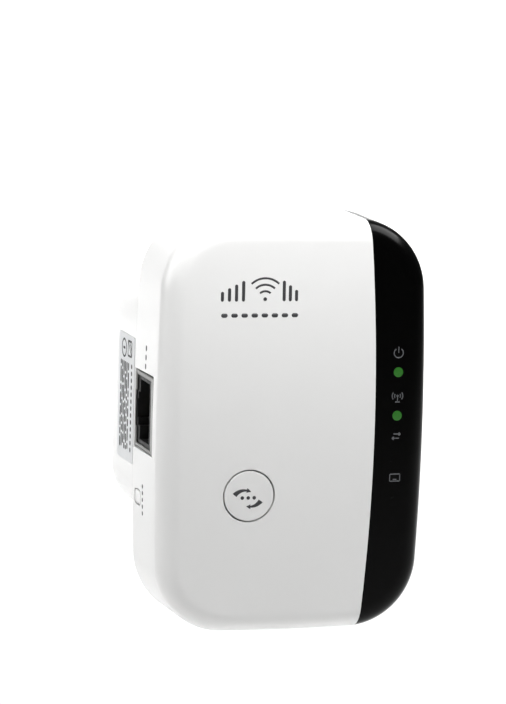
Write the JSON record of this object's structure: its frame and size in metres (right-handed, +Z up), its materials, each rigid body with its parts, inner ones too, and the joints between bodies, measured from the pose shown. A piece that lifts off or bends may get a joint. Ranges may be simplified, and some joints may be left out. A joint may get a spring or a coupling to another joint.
{
  "type": "wifi range extender",
  "caption": "Plug-in wireless range extender with a black indicator panel, a round push button, a side network jack and slanted plug blades that carry it on a wall socket.",
  "frame": {"origin": "centre of the flat rear face of the plug block, which lies against the wall socket", "axes": "+Z up, +Y into the wall, along the plug blades, and +X to the right of someone facing the front"},
  "size_m": [0.0554, 0.0581, 0.0826],
  "materials": {
    "white_shell": "moulded white ABS with a soft gloss",
    "white_button": "moulded white ABS with a soft gloss",
    "black_panel": "polished black acrylic",
    "label_film": "printed satin label",
    "blade_metal": "nickel-plated brass",
    "switch_plastic": "matte black nylon",
    "switch_plunger": "matte black nylon",
    "tinned_steel": "tinned sheet steel",
    "clear_guide": "clear moulded acrylic",
    "jack_metal": "nickel-plated sheet",
    "jack_plastic": "matte black nylon",
    "contact_gold": "gold-plated spring wire",
    "green_board": "green solder mask over copper",
    "tan_board": "bare laminate",
    "screw_steel": "zinc-plated steel",
    "chip_plastic": "moulded epoxy",
    "ferrite": "dark sintered ferrite",
    "chip_ceramic": "fired ceramic with tinned ends",
    "disc_ceramic": "blue lacquered ceramic",
    "bobbin_plastic": "moulded bobbin plastic",
    "winding_tape": "yellow polyester tape",
    "capacitor_sleeve": "shrunk black sleeve",
    "coil_sleeve": "shrunk black sleeve",
    "resistor_body": "flame-proof coating",
    "lead_red": "red insulated lead",
    "lead_black": "black insulated lead",
    "led_lit": "lit green lamp",
    "led_unlit": "unlit lamp"
  },
  "bodies": {
    "housing": {"antenna_lower": "tinned_steel", "antenna_upper": "tinned_steel", "blade_left": "blade_metal", "blade_right": "blade_metal", "board_screws": "screw_steel", "bridge_rectifier": "chip_plastic", "button_switch": "switch_plastic", "button_switch_plate": "tinned_steel", "chip_capacitors": "chip_ceramic", "controller_chip": "chip_plastic", "crystal": "tinned_steel", "dc_lead_negative": "lead_black", "dc_lead_positive": "lead_red", "disc_capacitor": "disc_ceramic", "filter_coil": "coil_sleeve", "flash_chip": "chip_plastic", "front_cover": "white_shell", "fuse_resistor": "resistor_body", "input_capacitor_large": "capacitor_sleeve", "input_capacitor_small": "capacitor_sleeve", "jack_body": "jack_plastic", "jack_contacts": "contact_gold", "jack_shell": "jack_metal", "led_network": "led_unlit", "led_panel": "black_panel", "led_power": "led_lit", "led_relay": "led_unlit", "led_wireless": "led_lit", "light_guide": "clear_guide", "main_board": "green_board", "network_transformer": "chip_plastic", "output_capacitor": "capacitor_sleeve", "output_diode": "chip_plastic", "power_board": "tan_board", "power_screws": "screw_steel", "processor": "chip_plastic", "rating_label": "label_film", "rear_cover": "white_shell", "regulator": "chip_plastic", "regulator_coil": "ferrite", "reset_switch": "switch_plastic", "reset_switch_plate": "tinned_steel", "shield_can": "tinned_steel", "transformer_bobbin": "bobbin_plastic", "transformer_core": "ferrite", "transformer_winding": "winding_tape"},
    "button": {"front_button": "white_button"},
    "button_core": {"button_plunger": "switch_plunger"},
    "reset": {"reset_key": "white_button"},
    "reset_core": {"reset_plunger": "switch_plunger"}
  },
  "joints": [
    {"name": "button_press", "type": "slide", "parent": "housing", "child": "button", "axis": [0, 1, 0], "range_m": [0, 0.00035], "stiffness_N_per_m": 1500},
    {"name": "button_core_press", "type": "slide", "parent": "housing", "child": "button_core", "axis": [0, 1, 0], "range_m": [0, 0.00035]},
    {"name": "reset_press", "type": "slide", "parent": "housing", "child": "reset", "axis": [1, 0, 0], "range_m": [0, 0.00035], "stiffness_N_per_m": 1500},
    {"name": "reset_core_press", "type": "slide", "parent": "housing", "child": "reset_core", "axis": [1, 0, 0], "range_m": [0, 0.00035]}
  ],
  "couplings": [
    {"joint": "button_core_press", "follows": "button_press", "ratio": 1},
    {"joint": "reset_core_press", "follows": "reset_press", "ratio": 1}
  ]
}
